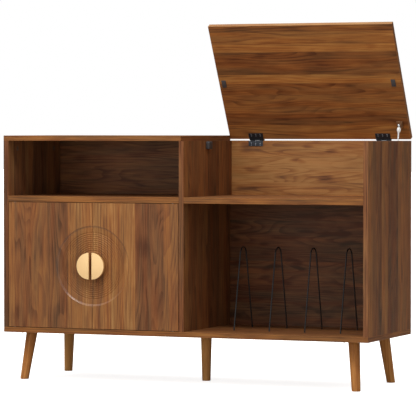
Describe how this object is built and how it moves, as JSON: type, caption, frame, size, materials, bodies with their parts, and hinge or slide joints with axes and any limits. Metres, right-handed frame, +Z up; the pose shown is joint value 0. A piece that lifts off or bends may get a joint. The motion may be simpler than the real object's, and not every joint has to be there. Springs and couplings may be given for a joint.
{
  "type": "record cabinet",
  "caption": "Walnut record cabinet: open shelf over carved inset doors, lidded turntable bay over a record bay with wire dividers, on splayed turned legs.",
  "frame": {"origin": "middle of the centre leg's foot, on the floor, under the middle of the cabinet's width and depth", "axes": "+X along the width to the right as seen from the front, +Y from front to back, +Z up"},
  "size_m": [1.2, 0.4254, 1.1028],
  "materials": {
    "walnut": "satin walnut laminate with open grain",
    "walnut_back": "thin walnut-printed back board",
    "leg_wood": "stained turned hardwood, satin",
    "pale_gold": "pale gold plate, fine satin",
    "black_steel": "black powder coat",
    "grey_steel": "zinc-plated steel",
    "white_paint": "white enamel",
    "dark_plastic": "moulded, matt"
  },
  "bodies": {
    "carcass": {"bottom_panel": "walnut", "left_side_panel": "walnut", "right_side_panel": "walnut", "centre_divider": "walnut", "top_panel": "walnut", "left_shelf": "walnut", "turntable_shelf": "walnut", "left_back_panel": "walnut_back", "right_back_panel": "walnut_back", "rear_hinge_rail": "walnut", "leg_front_left": "leg_wood", "leg_front_right": "leg_wood", "leg_back_left": "leg_wood", "leg_back_right": "leg_wood", "leg_centre": "leg_wood", "leg_plate_front_left": "black_steel", "leg_plate_front_right": "black_steel", "leg_plate_back_left": "black_steel", "leg_plate_back_right": "black_steel", "leg_plate_centre": "black_steel", "record_divider_1": "black_steel", "record_divider_2": "black_steel", "record_divider_3": "black_steel", "record_divider_4": "black_steel", "left_door_bush_lower": "dark_plastic", "left_door_bush_upper": "dark_plastic", "right_door_bush_lower": "dark_plastic", "right_door_bush_upper": "dark_plastic", "door_catch": "dark_plastic", "lid_hinge_fixed_leaf_left": "black_steel", "lid_hinge_fixed_leaf_right": "black_steel", "lid_hinge_pin_left": "grey_steel", "lid_hinge_pin_right": "grey_steel", "lid_bumper_left": "dark_plastic", "lid_bumper_right": "dark_plastic", "strut_foot_bracket": "grey_steel"},
    "lid_body": {"lid": "walnut", "lid_hinge_moving_leaf_left": "black_steel", "lid_hinge_moving_leaf_right": "black_steel", "lid_pad_left": "dark_plastic", "lid_pad_right": "dark_plastic", "strut_lid_bracket": "grey_steel"},
    "left_door_body": {"left_door": "walnut", "left_pull": "pale_gold", "left_pull_screw_lower": "grey_steel", "left_pull_screw_upper": "grey_steel", "left_door_pin_lower": "grey_steel", "left_door_pin_upper": "grey_steel", "left_door_strike": "grey_steel"},
    "right_door_body": {"right_door": "walnut", "right_pull": "pale_gold", "right_pull_screw_lower": "grey_steel", "right_pull_screw_upper": "grey_steel", "right_door_pin_lower": "grey_steel", "right_door_pin_upper": "grey_steel", "right_door_strike": "grey_steel"},
    "strut_body": {"strut_cylinder": "white_paint"},
    "strut_rod_body": {"strut_rod": "white_paint", "strut_rod_end": "white_paint"}
  },
  "joints": [
    {"name": "lid_hinge", "type": "hinge", "parent": "carcass", "child": "lid_body", "pos_m": [0.3, 0.1982, 0.7462], "axis": [1, 0, 0], "range_deg": [0, 61.9]},
    {"name": "left_door_hinge", "type": "hinge", "parent": "carcass", "child": "left_door_body", "pos_m": [-0.5626, -0.193, 0.359], "axis": [0, 0, -1], "range_deg": [0, 110]},
    {"name": "right_door_hinge", "type": "hinge", "parent": "carcass", "child": "right_door_body", "pos_m": [-0.0294, -0.193, 0.359], "axis": [0, 0, 1], "range_deg": [0, 110]},
    {"name": "strut_swing", "type": "hinge", "parent": "carcass", "child": "strut_body", "pos_m": [0.574, 0.11, 0.605], "axis": [1, 0, 0], "range_deg": [0, 1.1]},
    {"name": "strut_slide", "type": "slide", "parent": "strut_body", "child": "strut_rod_body", "axis": [0, 0.2566, 0.9665], "range_m": [-0.06027, 0]}
  ],
  "couplings": [
    {"joint": "strut_swing", "follows": "lid_hinge", "ratio": 0.017692},
    {"joint": "strut_slide", "follows": "lid_hinge", "m_per_rad": -0.055788}
  ]
}
